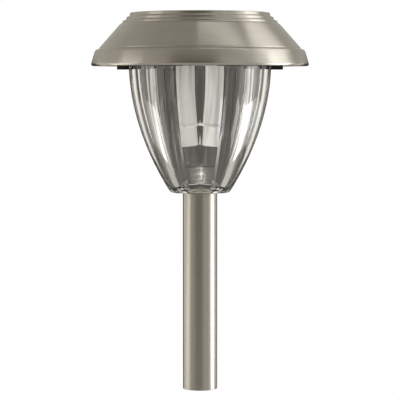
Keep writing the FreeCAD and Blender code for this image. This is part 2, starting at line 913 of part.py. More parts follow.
def make_battery_lead(name, side):
    board_top = board_bottom + board_thickness
    start_x = side * (bay_half_length - contact_thickness - lead_radius)
    bend_y, end_y = battery_lead_y
    return lead(name, [
        (start_x, cell_y, battery_joint_z),
        (start_x, bend_y, battery_joint_z),
        (side * battery_lead_x, end_y, board_top + battery_lead_rise),
        (side * battery_lead_x, end_y, board_top),
    ])


os.makedirs("parts", exist_ok=True)

export("pole_tube", make_pole_tube())
export("pole_ferrule", make_pole_ferrule())
export("ground_stake", make_ground_stake())
export("pole_adapter", make_pole_adapter())
export("lens_bowl", make_lens_bowl())
export("lens_seal", make_lens_seal())
export("base_disc", make_base_disc())
export("housing_screws", make_housing_screws())
export("board_screws", make_board_screws())
export("battery_door", make_battery_door())
export("housing_shell", make_housing_shell())
export("solar_panel", make_solar_panel())
export("solar_cells", make_solar_cells())
export("cell_ribbons", make_cell_ribbons())
export("panel_cover", make_panel_cover())
export("panel_gasket", make_panel_gasket())
export("hat_shade", make_hat_shade())
export("circuit_board", make_circuit_board())
export("driver_chip", make_driver_chip())
export("inductor", make_inductor())
export("led_lamp", make_led_lamp())
export("led_legs", make_led_legs())
export("reflector_cup", make_reflector_cup())
export("guide_retainer", make_guide_retainer())
export("light_guide", make_light_guide())
export("switch_body", make_switch_body())
export("switch_slider", make_switch_slider())
export("battery_can", make_battery_can())
export("battery_sleeve", make_battery_sleeve())
export("contact_positive", make_contact_plate(1))
export("contact_negative", make_contact_plate(-1))
export("contact_spring", make_contact_spring())
export("panel_lead_red", make_panel_lead("panel_lead_red", 1))
export("panel_lead_black", make_panel_lead("panel_lead_black", -1))
export("battery_lead_red", make_battery_lead("battery_lead_red", 1))
export("battery_lead_black", make_battery_lead("battery_lead_black", -1))
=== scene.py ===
import json
import math

import bmesh
import bpy
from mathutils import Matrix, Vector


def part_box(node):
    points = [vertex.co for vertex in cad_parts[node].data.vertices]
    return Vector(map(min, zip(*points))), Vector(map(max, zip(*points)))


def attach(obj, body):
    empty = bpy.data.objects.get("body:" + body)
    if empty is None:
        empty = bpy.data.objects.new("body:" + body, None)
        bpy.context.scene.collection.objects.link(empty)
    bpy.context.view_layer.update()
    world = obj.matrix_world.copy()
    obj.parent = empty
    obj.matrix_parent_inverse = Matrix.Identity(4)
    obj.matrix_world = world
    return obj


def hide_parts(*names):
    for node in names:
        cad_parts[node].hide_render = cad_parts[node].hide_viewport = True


# a solar garden light: steel hat on a fluted clear lens, on a brushed steel pole
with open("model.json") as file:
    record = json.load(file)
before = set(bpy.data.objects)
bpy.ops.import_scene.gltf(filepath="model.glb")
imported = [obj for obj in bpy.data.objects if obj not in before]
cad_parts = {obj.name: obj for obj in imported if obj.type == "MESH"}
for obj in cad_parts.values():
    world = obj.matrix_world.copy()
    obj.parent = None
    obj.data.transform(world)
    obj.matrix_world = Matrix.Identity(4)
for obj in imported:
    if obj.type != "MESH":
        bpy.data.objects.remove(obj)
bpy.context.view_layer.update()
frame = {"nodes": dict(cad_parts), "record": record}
nodes = frame["nodes"]
mm = 0.001


def boxOf(node):
    low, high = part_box(node)
    return [value / mm for value in low], [value / mm for value in high]


# colours, nodes and materials

def linear(hexColour):
    channels = [int(hexColour[i:i + 2], 16) / 255 for i in (1, 3, 5)]
    return [c / 12.92 if c <= 0.04045 else ((c + 0.055) / 1.055) ** 2.4 for c in channels] + [1.0]


def connect(tree, node, links):
    for key, source in links.items():
        tree.links.new(source, node.inputs[int(key) if key.isdigit() else key])


def addNode(tree, kind, settings=None, links=None):
    # a key with a dot is the node's own setting, "stops" fills a colour ramp, any other key is an input
    node = tree.nodes.new(kind)
    for key, value in (settings or {}).items():
        if key == "stops":
            elements = node.color_ramp.elements
            while len(elements) < len(value):
                elements.new(0.5)
            for element, (place, colour) in zip(elements, value):
                element.position = place
                element.color = linear(colour)
        elif key.startswith("."):
            setattr(node, key[1:], value)
        else:
            node.inputs[int(key) if key.isdigit() else key].default_value = value
    connect(tree, node, links or {})
    return node


def newMaterial(name, settings):
    material = bpy.data.materials.new(name)
    material.use_nodes = True
    tree = material.node_tree
    shader = tree.nodes["Principled BSDF"]
    for key, value in settings.items():
        shader.inputs[key].default_value = value
    return material, tree, shader


steelLook = {"gritSpacing": 0.35, "gritDepth": 0.006, "gritDetail": 6.0, "gritRoughness": 0.65, "relief": 0.35,
             "lineTurn": 0.9, "streakScale": 2.6, "streakDetail": 2.0, "streakShare": 0.35,
             "darkStop": 0.32, "lightStop": 0.68, "brushingTurn": 0.25}


def brushedStainless(name, base, light, roughLow, roughHigh, anisotropy):
    # satin stainless, brushed on a lathe: fine lines round the axis, so highlights spread along the axis
    material, tree, shader = newMaterial(name, {"Metallic": 1.0, "Anisotropic": anisotropy,
                                                "Anisotropic Rotation": steelLook["brushingTurn"]})
    place = addNode(tree, "ShaderNodeTexCoord").outputs["Object"]
    split = addNode(tree, "ShaderNodeSeparateXYZ", {}, {"Vector": place})
    angle = addNode(tree, "ShaderNodeMath", {".operation": "ARCTAN2"},
                    {"0": split.outputs["Y"], "1": split.outputs["X"]})
    flat = addNode(tree, "ShaderNodeCombineXYZ", {}, {"X": split.outputs["X"], "Y": split.outputs["Y"]})
    radius = addNode(tree, "ShaderNodeVectorMath", {".operation": "LENGTH"}, {"0": flat.outputs["Vector"]})
    # lines gritSpacing mm apart, drawn coarser than real grit so that they show
    across = addNode(tree, "ShaderNodeMath", {".operation": "SUBTRACT"},
                     {"0": split.outputs["Z"], "1": radius.outputs["Value"]})
    spaced = addNode(tree, "ShaderNodeMath", {".operation": "MULTIPLY", "1": 1 / (steelLook["gritSpacing"] * mm)},
                     {"0": across.outputs["Value"]})
    along = addNode(tree, "ShaderNodeMath", {".operation": "MULTIPLY", "1": steelLook["lineTurn"]},
                    {"0": angle.outputs["Value"]})
    lines = addNode(tree, "ShaderNodeCombineXYZ", {}, {"X": along.outputs["Value"], "Y": spaced.outputs["Value"]})
    grit = addNode(tree, "ShaderNodeTexNoise", {"Scale": 1.0, "Detail": steelLook["gritDetail"],
                                                "Roughness": steelLook["gritRoughness"]},
                   {"Vector": lines.outputs["Vector"]})
    # slow changes round the piece where the belt pressed harder
    streaks = addNode(tree, "ShaderNodeTexNoise",
                      {"Scale": steelLook["streakScale"], "Detail": steelLook["streakDetail"]},
                      {"Vector": lines.outputs["Vector"]})
    both = addNode(tree, "ShaderNodeMix", {".data_type": "FLOAT", "Factor": steelLook["streakShare"]},
                   {"2": grit.outputs["Fac"], "3": streaks.outputs["Fac"]})
    tint = addNode(tree, "ShaderNodeValToRGB",
                   {"stops": [(steelLook["darkStop"], base), (steelLook["lightStop"], light)]},
                   {"Fac": both.outputs["Result"]})
    rough = addNode(tree, "ShaderNodeMapRange", {"To Min": roughLow, "To Max": roughHigh},
                    {"Value": grit.outputs["Fac"]})
    tangent = addNode(tree, "ShaderNodeTangent", {".direction_type": "RADIAL", ".axis": "Z"})
    relief = addNode(tree, "ShaderNodeBump",
                     {"Strength": steelLook["relief"], "Distance": steelLook["gritDepth"] * mm},
                     {"Height": grit.outputs["Fac"]})
    connect(tree, shader, {"Base Color": tint.outputs["Color"], "Roughness": rough.outputs["Result"],
                           "Tangent": tangent.outputs["Tangent"], "Normal": relief.outputs["Normal"]})
    return material


# grain and depth come with each finish, in mm; the clouds in the gloss lie 60 to the metre, about 17 mm across
mouldLook = {"ior": 1.52, "pitDetail": 4.0, "cloudSize": 1000 / 60, "cloudDetail": 3.0, "darkStop": 0.3,
             "lightStop": 0.7, "glossSpread": 0.2, "relief": 0.6}


def mouldedPlastic(name, dark, light, roughness, grain, depth):
    # moulded plastic with a spark-eroded grain: tiny pits, slightly uneven gloss
    material, tree, shader = newMaterial(name, {"IOR": mouldLook["ior"]})
    place = addNode(tree, "ShaderNodeTexCoord").outputs["Object"]
    pits = addNode(tree, "ShaderNodeTexNoise", {"Scale": 1 / (grain * mm), "Detail": mouldLook["pitDetail"]},
                   {"Vector": place})
    cloud = addNode(tree, "ShaderNodeTexNoise",
                    {"Scale": 1 / (mouldLook["cloudSize"] * mm), "Detail": mouldLook["cloudDetail"]},
                    {"Vector": place})
    tint = addNode(tree, "ShaderNodeValToRGB",
                   {"stops": [(mouldLook["darkStop"], dark), (mouldLook["lightStop"], light)]},
                   {"Fac": cloud.outputs["Fac"]})
    rough = addNode(tree, "ShaderNodeMapRange", {"To Min": roughness * (1 - mouldLook["glossSpread"]),
                                                 "To Max": roughness * (1 + mouldLook["glossSpread"])},
                    {"Value": cloud.outputs["Fac"]})
    relief = addNode(tree, "ShaderNodeBump", {"Strength": mouldLook["relief"], "Distance": depth * mm},
                     {"Height": pits.outputs["Fac"]})
    connect(tree, shader, {"Base Color": tint.outputs["Color"], "Roughness": rough.outputs["Result"],
                           "Normal": relief.outputs["Normal"]})
    return material


def letLampsThrough(tree, shader, colour):
    # lamps shine through it, so that what is inside is lit
    rays = addNode(tree, "ShaderNodeLightPath")
    opened = addNode(tree, "ShaderNodeBsdfTransparent", {}, {"Color": colour.outputs["Color"]})
    mixed = addNode(tree, "ShaderNodeMixShader", {}, {"Fac": rays.outputs["Is Shadow Ray"],
                                                      "1": shader.outputs["BSDF"], "2": opened.outputs["BSDF"]})
    connect(tree, tree.nodes["Material Output"], {"Surface": mixed.outputs["Shader"]})


# the ripple's depth comes with each finish, in mm; its waves lie 45 to the metre, about 22 mm long
clearLook = {"waveLength": 1000 / 45, "waveDetail": 2.0, "relief": 0.5, "darkStop": 0.3, "lightStop": 0.7}


def clearPlastic(name, tint, light, low, high, ior, ripple):
    # clear moulded plastic: polished tool finish, with the slow ripple that flow in the mould leaves
    material, tree, shader = newMaterial(name, {"Transmission Weight": 1.0, "IOR": ior})
    place = addNode(tree, "ShaderNodeTexCoord").outputs["Object"]
    flow = addNode(tree, "ShaderNodeTexNoise",
                   {"Scale": 1 / (clearLook["waveLength"] * mm), "Detail": clearLook["waveDetail"]},
                   {"Vector": place})
    colour = addNode(tree, "ShaderNodeValToRGB",
                     {"stops": [(clearLook["darkStop"], tint), (clearLook["lightStop"], light)]},
                     {"Fac": flow.outputs["Fac"]})
    rough = addNode(tree, "ShaderNodeMapRange", {"To Min": low, "To Max": high}, {"Value": flow.outputs["Fac"]})
    relief = addNode(tree, "ShaderNodeBump", {"Strength": clearLook["relief"], "Distance": ripple * mm},
                     {"Height": flow.outputs["Fac"]})
    connect(tree, shader, {"Base Color": colour.outputs["Color"], "Roughness": rough.outputs["Result"],
                           "Normal": relief.outputs["Normal"]})
    letLampsThrough(tree, shader, colour)
    return material


# streak spacing and length in mm
# the two streak stops give the painted shade and the painted highlight of the streaks
guideLook = {"streakSpacing": 3.6, "streakLength": 120.0, "streakDetail": 2.0, "paintedShadeStop": 0.36, "paintedHighlightStop": 0.56,
             "clearness": 0.12, "ior": 1.49, "roughLow": 0.12, "roughHigh": 0.25, "paintedGlow": 0.13}


def frostedTube(name, paintedShade, paintedHighlight):
    # moulded acrylic, frosted inside: milky and bright, with long streaks down it painted lighter and darker:
    # painted highlights and painted shade
    # the painted glow is painted light on a part that is no lamp: it stands in for the light that the reflector
    # above sends down the tube
    material, tree, shader = newMaterial(name, {"Transmission Weight": guideLook["clearness"],
                                                "IOR": guideLook["ior"],
                                                # painted glow: this emission is painted light, the tube is no lamp
                                                "Emission Color": linear(paintedHighlight),
                                                "Emission Strength": guideLook["paintedGlow"]})
    place = addNode(tree, "ShaderNodeTexCoord").outputs["Object"]
    across = 1 / (guideLook["streakSpacing"] * mm)
    stretched = addNode(tree, "ShaderNodeVectorMath",
                        {".operation": "MULTIPLY", "1": (across, across, 1 / (guideLook["streakLength"] * mm))},
                        {"0": place})
    streaks = addNode(tree, "ShaderNodeTexNoise", {"Scale": 1.0, "Detail": guideLook["streakDetail"]},
                      {"Vector": stretched.outputs["Vector"]})
    # the streaks paint the colour lighter and darker: painted highlights and painted shade running down the tube
    tint = addNode(tree, "ShaderNodeValToRGB",
                   {"stops": [(guideLook["paintedShadeStop"], paintedShade), (guideLook["paintedHighlightStop"], paintedHighlight)]},
                   {"Fac": streaks.outputs["Fac"]})
    rough = addNode(tree, "ShaderNodeMapRange", {"To Min": guideLook["roughLow"], "To Max": guideLook["roughHigh"]},
                    {"Value": streaks.outputs["Fac"]})
    connect(tree, shader, {"Base Color": tint.outputs["Color"], "Roughness": rough.outputs["Result"]})
    letLampsThrough(tree, shader, tint)
    return material


# marks 900 to the metre, drawn coarser than real ones so that they show
platingLook = {"markSpacing": 1000 / 900, "markDetail": 3.0, "darkStop": 0.3, "lightStop": 0.7,
               "glossLow": 0.7, "glossHigh": 1.4}


def platedMetal(name, base, light, roughness):
    # plated metal: bright, with faint drawn marks
    material, tree, shader = newMaterial(name, {"Metallic": 1.0})
    place = addNode(tree, "ShaderNodeTexCoord").outputs["Object"]
    marks = addNode(tree, "ShaderNodeTexNoise",
                    {"Scale": 1 / (platingLook["markSpacing"] * mm), "Detail": platingLook["markDetail"]},
                    {"Vector": place})
    tint = addNode(tree, "ShaderNodeValToRGB",
                   {"stops": [(platingLook["darkStop"], base), (platingLook["lightStop"], light)]},
                   {"Fac": marks.outputs["Fac"]})
    rough = addNode(tree, "ShaderNodeMapRange", {"To Min": roughness * platingLook["glossLow"],
                                                 "To Max": roughness * platingLook["glossHigh"]},
                    {"Value": marks.outputs["Fac"]})
    connect(tree, shader, {"Base Color": tint.outputs["Color"], "Roughness": rough.outputs["Result"]})
    return material


# spacings and sizes in mm; the grains are about 6 mm across
cellLook = {"fingerSpacing": 2.0, "fingerWidth": 0.16, "fingerColour": "#A9B0BC", "grainSize": 1000 / 160,
            "darkGrain": "#0B1230", "lightGrain": "#1B2F66", "darkStop": 0.2, "lightStop": 0.8,
            "roughness": 0.25, "coat": 0.6, "coatRoughness": 0.08}


def siliconCells(name):
    # blue-black crystalline silicon: angular grains and fine silver fingers across the strips
    material, tree, shader = newMaterial(name, {"Roughness": cellLook["roughness"], "Coat Weight": cellLook["coat"],
                                                "Coat Roughness": cellLook["coatRoughness"]})
    place = addNode(tree, "ShaderNodeTexCoord").outputs["Object"]
    grains = addNode(tree, "ShaderNodeTexVoronoi", {"Scale": 1 / (cellLook["grainSize"] * mm)}, {"Vector": place})
    tint = addNode(tree, "ShaderNodeValToRGB", {"stops": [(cellLook["darkStop"], cellLook["darkGrain"]),
                                                          (cellLook["lightStop"], cellLook["lightGrain"])]},
                   {"Fac": grains.outputs["Color"]})
    split = addNode(tree, "ShaderNodeSeparateXYZ", {}, {"Vector": place})
    wave = addNode(tree, "ShaderNodeMath", {".operation": "PINGPONG", "1": cellLook["fingerSpacing"] / 2 * mm},
                   {"0": split.outputs["Y"]})
    finger = addNode(tree, "ShaderNodeMath", {".operation": "LESS_THAN", "1": cellLook["fingerWidth"] / 2 * mm},
                     {"0": wave.outputs["Value"]})
    mixed = addNode(tree, "ShaderNodeMix", {".data_type": "RGBA", "7": linear(cellLook["fingerColour"])},
                    {"Factor": finger.outputs["Value"], "6": tint.outputs["Color"]})
    connect(tree, shader, {"Base Color": mixed.outputs[2]})
    return material


looks = {
    "brushed_stainless": brushedStainless("brushedStainlessHat", "#B6B1A8", "#CFCBC3", 0.20, 0.29, 0.94),
    "black_abs": mouldedPlastic("blackAbs", "#0C0C0C", "#161616", 0.42, 0.25, 0.02),
    "clear_polystyrene": clearPlastic("clearPolystyrene", "#F6F5F2", "#FDFDFC", 0.0, 0.02, 1.59, 0.006),
    "clear_polycarbonate": clearPlastic("clearPolycarbonate", "#F6F7F8", "#FDFDFD", 0.01, 0.03, 1.58, 0.01),
    "frosted_acrylic": frostedTube("frostedAcrylic", "#B4B4AE", "#FFFFFE"),
    "seal_rubber": mouldedPlastic("siliconeRubber", "#101010", "#1C1C1C", 0.65, 0.3, 0.02),
    "zinc_screw": platedMetal("zincPlatedSteel", "#A9A8A2", "#CFCEC8", 0.28),
    "panel_board": mouldedPlastic("panelLaminate", "#1A2026", "#262E36", 0.35, 0.4, 0.01),
    "silicon_cell": siliconCells("siliconCell"),
    "tinned_copper": platedMetal("tinnedCopper", "#B9BAB8", "#DADBD9", 0.25),
    "green_board": mouldedPlastic("solderMask", "#0E4A26", "#156034", 0.30, 0.8, 0.02),
    "chip_epoxy": mouldedPlastic("mouldingCompound", "#151515", "#222222", 0.55, 0.15, 0.01),
    "led_epoxy": clearPlastic("lampEpoxy", "#FFF6DC", "#FFFBEF", 0.02, 0.05, 1.55, 0.01),
    "reflector_white": mouldedPlastic("whiteReflector", "#EFEBDD", "#FBF8EE", 0.25, 0.5, 0.01),
    "nickel_plate": platedMetal("nickelPlate", "#B3ADA2", "#D8D3C8", 0.18),
    "white_nylon": mouldedPlastic("whiteNylon", "#D9D8D2", "#E8E7E1", 0.45, 0.3, 0.02),
    "cell_sleeve": mouldedPlastic("shrinkSleeve", "#1E7A44", "#2A9456", 0.25, 1.0, 0.01),
    "red_pvc": mouldedPlastic("redPvc", "#9C1414", "#B42020", 0.35, 0.4, 0.01),
    "black_pvc": mouldedPlastic("blackPvc", "#0F0F0F", "#1C1C1C", 0.35, 0.4, 0.01),
}
polesSteel = brushedStainless("brushedStainlessPole", "#B5B1A8", "#C4C0B8", 0.24, 0.29, 0.93)
slotOf = {entry["node"]: entry["material_slot"] for entry in frame["record"]["subparts"]}
for nodeName, nodeObject in nodes.items():
    nodeObject.data.materials.clear()
    nodeObject.data.materials.append(looks[slotOf[nodeName]])
print("materials on", len(nodes), "nodes")


# small helpers for the turned pieces

def clearSelection():
    if bpy.context.object and bpy.context.object.mode != "OBJECT":
        bpy.ops.object.mode_set(mode="OBJECT")
    bpy.ops.object.select_all(action="DESELECT")


def startRing(name, radius, height, segments):
    clearSelection()
    # vertex 0 stands on the Y axis
    bpy.ops.mesh.primitive_circle_add(vertices=segments, radius=radius * mm, fill_type="NOTHING",
                                      location=(0, 0, height * mm))
    piece = bpy.context.object
    piece.name = name
    piece.data.name = name
    bpy.ops.object.transform_apply(location=True, rotation=True, scale=True)
    bpy.ops.object.mode_set(mode="EDIT")
    bpy.ops.mesh.select_all(action="SELECT")
    return piece


sameSize = 1e-9  # rings closer in size than this aren't resized


def extrudeRing(before, after):
    # before and after are (radius, height) in mm; the new ring stays selected
    rise = (after[1] - before[1]) * mm
    bpy.ops.mesh.extrude_edges_move(TRANSFORM_OT_translate={"value": (0, 0, rise)})
    share = after[0] / before[0]
    if abs(share - 1) > sameSize:
        bpy.ops.transform.resize(value=(share, share, 1), center_override=(0, 0, after[1] * mm))


def closeUp(piece, smoothAngle):
    # merges the doubled rings and the points on the axis, turns the faces outwards and smooths them
    bpy.ops.mesh.select_all(action="SELECT")
    bpy.ops.mesh.remove_doubles(threshold=0.01 * mm)
    bpy.ops.mesh.normals_make_consistent(inside=False)
    bpy.ops.object.mode_set(mode="OBJECT")
    bpy.ops.object.shade_smooth_by_angle(angle=math.radians(smoothAngle))


onAxis = 0.0005  # mm, a ring this small closes on the axis


def turnedPiece(name, outline, segments, smoothAngle, bevelWidth=0.0, bevelSegments=2):
    # outline is a closed line of (radius, height) in mm; a radius of 0 closes on the axis
    points = [(max(radius, onAxis), height) for radius, height in outline]
    if outline[0][0] > 0:
        points.append(points[0])
    piece = startRing(name, points[0][0], points[0][1], segments)
    for before, after in zip(points, points[1:]):
        extrudeRing(before, after)
    closeUp(piece, smoothAngle)
    if bevelWidth:
        bevelEdges(piece, bevelWidth, bevelSegments, smoothAngle)
    return piece


def bevelEdges(piece, width, segments, smoothAngle, limit=22):
    modifier = piece.modifiers.new("roundedEdges", "BEVEL")
    modifier.width = width * mm
    modifier.segments = segments
    modifier.limit_method = "ANGLE"
    modifier.angle_limit = math.radians(limit)
    modifier.harden_normals = False
    bpy.ops.object.modifier_apply(modifier="roundedEdges")
    bpy.ops.object.shade_smooth_by_angle(angle=math.radians(smoothAngle))


def finishPiece(piece, body, material, replaced=()):
    piece.data.materials.clear()
    piece.data.materials.append(material)
    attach(piece, body)
    if replaced:
        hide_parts(*replaced)
    print("made", piece.name, len(piece.data.polygons), "faces")


# seen from the front and a little above, aimed at the middle
cameraSetup = {"distance": 1.2, "height": 0.1969, "pitch": 3.547, "lens": 167.5, "sensor": 36.0}
cameraData = bpy.data.cameras.new("camera")
cameraData.lens = cameraSetup["lens"]
cameraData.sensor_width = cameraSetup["sensor"]
camera = bpy.data.objects.new("camera", cameraData)
camera.location = (0, -cameraSetup["distance"], cameraSetup["height"])
camera.rotation_euler = (math.radians(90 - cameraSetup["pitch"]), 0, 0)
bpy.context.collection.objects.link(camera)
bpy.context.scene.camera = camera

hatShape = {
    "segments": 256, "sheet": 0.8, "bevel": 0.38, "bevelSegments": 3, "smoothAngle": 30,
    # outer line from the window's edge to the hem: radius, and height above the hem
    "line": [(37.0, 34.2), (44.7, 34.2), (45.3, 31.9), (47.0, 31.5), (47.6, 29.5), (49.5, 29.1), (50.1, 27.4),
             (51.3, 26.9), (64.3, 12.1), (64.6, 11.2), (66.7, 10.5), (67.6, 9.3), (70.0, 1.3), (69.3, 0.0)],
}


def movedIn(line, thickness):
    # the same line, moved to the sheet's inner side
    inner = []
    for index, point in enumerate(line):
        normals = []
        for first, second in ((max(index - 1, 0), index), (index, min(index + 1, len(line) - 1))):
            run = (line[second][0] - line[first][0], line[second][1] - line[first][1])
            length = math.hypot(*run)
            if length > 0:
                normals.append((run[1] / length, -run[0] / length))
        if len(normals) == 1:
            normals.append(normals[0])
        share = 1 + normals[0][0] * normals[1][0] + normals[0][1] * normals[1][1]
        inner.append((point[0] + (normals[0][0] + normals[1][0]) * thickness / share,
                      point[1] + (normals[0][1] + normals[1][1]) * thickness / share))
    return inner


hatBottom = boxOf("hat_shade")[0][2]
hatLine = [(radius, hatBottom + height) for radius, height in hatShape["line"]]
hat = turnedPiece("pressedHat", hatLine + movedIn(hatLine, hatShape["sheet"])[::-1], hatShape["segments"],
                  hatShape["smoothAngle"], hatShape["bevel"], hatShape["bevelSegments"])
finishPiece(hat, "head", looks["brushed_stainless"], ["hat_shade"])

lensShape = {
    "flutes": 18, "perFlute": 12, "rings": 40,
    "topRadius": 45.8, "middleRadius": 44.48, "bottomRadius": 19.07, "fluteDepth": 2.0, "wall": 2.0,
    "shoulder": 208.5, "neckRadius": 43.9, "floor": 132.5, "bottomEdge": 17.9,
    "socketBore": 8.3, "socketCeiling": 143.8, "socketOuter": 9.8, "socketTop": 145.6,
    "lugLow": 211.5, "lugHigh": 213.2, "lugReach": 3.0, "lugAngle": 16, "lugCount": 3,
    "bottomChamfer": 0.5, "shoulderWall": 1.0, "socketFillet": 1.2, "socketFoot": 1.0, "socketRound": 0.8,
    "smoothAngle": 12,
}


def lensRadius(height, bottom):
    share = (lensShape["shoulder"] - height) / (lensShape["shoulder"] - bottom)
    top = lensShape["topRadius"] * (1 - share) ** 2
    middle = 2 * lensShape["middleRadius"] * share * (1 - share)
    return top + middle + lensShape["bottomRadius"] * share ** 2


def fluteFactor(phase):
    # how far in a point of a flute lies, 1 at the crest; the flute's section is a round arc
    half = lensShape["perFlute"] / 2
    off = abs(phase - half) / half
    halfAngle = math.pi / lensShape["flutes"]
    crest = lensShape["topRadius"]
    valley = crest - lensShape["fluteDepth"]
    chord = valley * math.sin(halfAngle)
    sag = crest - valley * math.cos(halfAngle)
    arcRadius = (chord ** 2 + sag ** 2) / (2 * sag)
    centre = crest - arcRadius
    angle = halfAngle * off
    reach = centre * math.cos(angle) + math.sqrt(arcRadius ** 2 - (centre * math.sin(angle)) ** 2)
    return reach / crest


def shapeFlutes(piece, height, inwards):
    # pulls the selected ring in between the crests, or lets it out again
    mesh = bmesh.from_edit_mesh(piece.data)
    ring = [vert for vert in mesh.verts if vert.select]
    step = 2 * math.pi / (lensShape["flutes"] * lensShape["perFlute"])
    for phase in range(lensShape["perFlute"]):
        factor = fluteFactor(phase)
        for vert in mesh.verts:
            vert.select = False
        for vert in ring:
            turn = math.atan2(vert.co.x, -vert.co.y) / step
            vert.select = round(turn) % lensShape["perFlute"] == phase
        mesh.select_flush_mode()
        bmesh.update_edit_mesh(piece.data)
        value = factor if inwards else 1 / factor
        bpy.ops.transform.resize(value=(value, value, 1), center_override=(0, 0, height * mm))
        mesh = bmesh.from_edit_mesh(piece.data)
        ring = [vert for vert in ring if vert.is_valid]
    for vert in ring:
        vert.select = True
    mesh.select_flush_mode()
    bmesh.update_edit_mesh(piece.data)


lensLow, lensHigh = boxOf("lens_bowl")
lensBottom = lensLow[2]
count = lensShape["flutes"] * lensShape["perFlute"]
lens = startRing("flutedLens", onAxis, lensShape["socketCeiling"], count)
path = [(onAxis, lensShape["socketCeiling"]), (lensShape["socketBore"], lensShape["socketCeiling"]),
        (lensShape["socketBore"], lensBottom), (lensShape["bottomEdge"], lensBottom)]
for before, after in zip(path, path[1:]):
    extrudeRing(before, after)
outside = []
fluteBottom = lensBottom + lensShape["bottomChamfer"]
for index in range(lensShape["rings"] + 1):
    height = fluteBottom + (lensShape["shoulder"] - fluteBottom) * index / lensShape["rings"]
    outside.append((lensRadius(height, lensBottom), height))
extrudeRing(path[-1], outside[0])
shapeFlutes(lens, outside[0][1], True)
for before, after in zip(outside, outside[1:]):
    extrudeRing(before, after)
shoulder = (lensShape["neckRadius"], lensShape["shoulder"])
extrudeRing(outside[-1], shoulder)
shapeFlutes(lens, shoulder[1], False)
neckInner = lensShape["neckRadius"] - lensShape["wall"]
inside = [shoulder, (lensShape["neckRadius"], lensShape["lugLow"]),
          (lensShape["neckRadius"], lensShape["lugHigh"]),
          (lensShape["neckRadius"], lensHigh[2]), (neckInner, lensHigh[2])]
bowlTop = lensShape["shoulder"] - lensShape["shoulderWall"]
for index in range(lensShape["rings"] + 1):
    height = bowlTop - (bowlTop - lensShape["floor"]) * index / lensShape["rings"]
    radius = lensRadius(height, lensBottom) - lensShape["wall"] - lensShape["fluteDepth"]
    inside.append((min(radius, neckInner), height))
inside += [(lensShape["socketOuter"] + lensShape["socketFillet"], lensShape["floor"]),
           (lensShape["socketOuter"], lensShape["floor"] + lensShape["socketFoot"]),
           (lensShape["socketOuter"], lensShape["socketTop"] - lensShape["socketRound"]),
           (lensShape["socketOuter"] - lensShape["socketRound"], lensShape["socketTop"]),
           (onAxis, lensShape["socketTop"])]
for before, after in zip(inside, inside[1:]):
    extrudeRing(before, after)
# bayonet lugs grow out of the neck's own faces
mesh = bmesh.from_edit_mesh(lens.data)
for face in mesh.faces:
    centre = face.calc_center_median()
    angle = math.degrees(math.atan2(centre.y, centre.x)) % (360 / lensShape["lugCount"])
    onNeck = abs(math.hypot(centre.x, centre.y) - lensShape["neckRadius"] * mm) < 0.05 * mm
    inBand = lensShape["lugLow"] < centre.z / mm < lensShape["lugHigh"]
    # one lug stands on the Y axis
    face.select = onNeck and inBand and abs(angle - 90) < lensShape["lugAngle"] / 2
mesh.select_flush_mode()
bmesh.update_edit_mesh(lens.data)
bpy.ops.mesh.select_mode(type="FACE")
bpy.ops.mesh.extrude_region_shrink_fatten(TRANSFORM_OT_shrink_fatten={"value": lensShape["lugReach"] * mm})
bpy.ops.mesh.select_mode(type="VERT")
closeUp(lens, lensShape["smoothAngle"])
finishPiece(lens, "lens", looks["clear_polystyrene"], ["lens_bowl"])

guideShape = {"segments": 96, "wall": 1.9, "flange": 12.4, "topRadius": 11.0, "stepRadius": 10.3, "bead": 11.0,
              "lowerRadius": 9.8, "bottomRadius": 9.3, "step": 171.0, "flangeHeight": 1.4,
              # heights round the step, above and below it
              "stepTop": 1.0, "beadTop": 0.8, "beadBottom": 0.6, "stepFoot": 0.9,
              "smoothAngle": 30, "bevel": 0.25, "bevelSegments": 3}
guideLow, guideHigh = boxOf("light_guide")
guideFlangeLow = guideHigh[2] - guideShape["flangeHeight"]
guide = turnedPiece("lightGuide", [
    (guideShape["topRadius"] - guideShape["wall"], guideHigh[2]),
    (guideShape["flange"], guideHigh[2]),
    (guideShape["flange"], guideFlangeLow),
    (guideShape["topRadius"], guideFlangeLow),
    (guideShape["stepRadius"], guideShape["step"] + guideShape["stepTop"]),
    (guideShape["bead"], guideShape["step"] + guideShape["beadTop"]),
    (guideShape["bead"], guideShape["step"] - guideShape["beadBottom"]),
    (guideShape["lowerRadius"], guideShape["step"] - guideShape["stepFoot"]),
    (guideShape["bottomRadius"], guideLow[2]),
    (0, guideLow[2]),
    (0, guideLow[2] + guideShape["wall"]),
    (guideShape["bottomRadius"] - guideShape["wall"], guideLow[2] + guideShape["wall"]),
], guideShape["segments"], guideShape["smoothAngle"], guideShape["bevel"], guideShape["bevelSegments"])
finishPiece(guide, "head", looks["frosted_acrylic"], ["light_guide"])

poleShape = {"segments": 96, "wall": 0.8, "smoothAngle": 30, "chamfer": 0.3, "chamferSegments": 2}
poleLow, poleHigh = boxOf("pole_tube")
poleInner = poleHigh[0] - poleShape["wall"]
pole = turnedPiece("brushedPole", [
    (poleHigh[0], poleLow[2]), (poleHigh[0], poleHigh[2]), (poleInner, poleHigh[2]), (poleInner, poleLow[2]),
], poleShape["segments"], poleShape["smoothAngle"], poleShape["chamfer"], poleShape["chamferSegments"])
finishPiece(pole, "pole", polesSteel, ["pole_tube"])

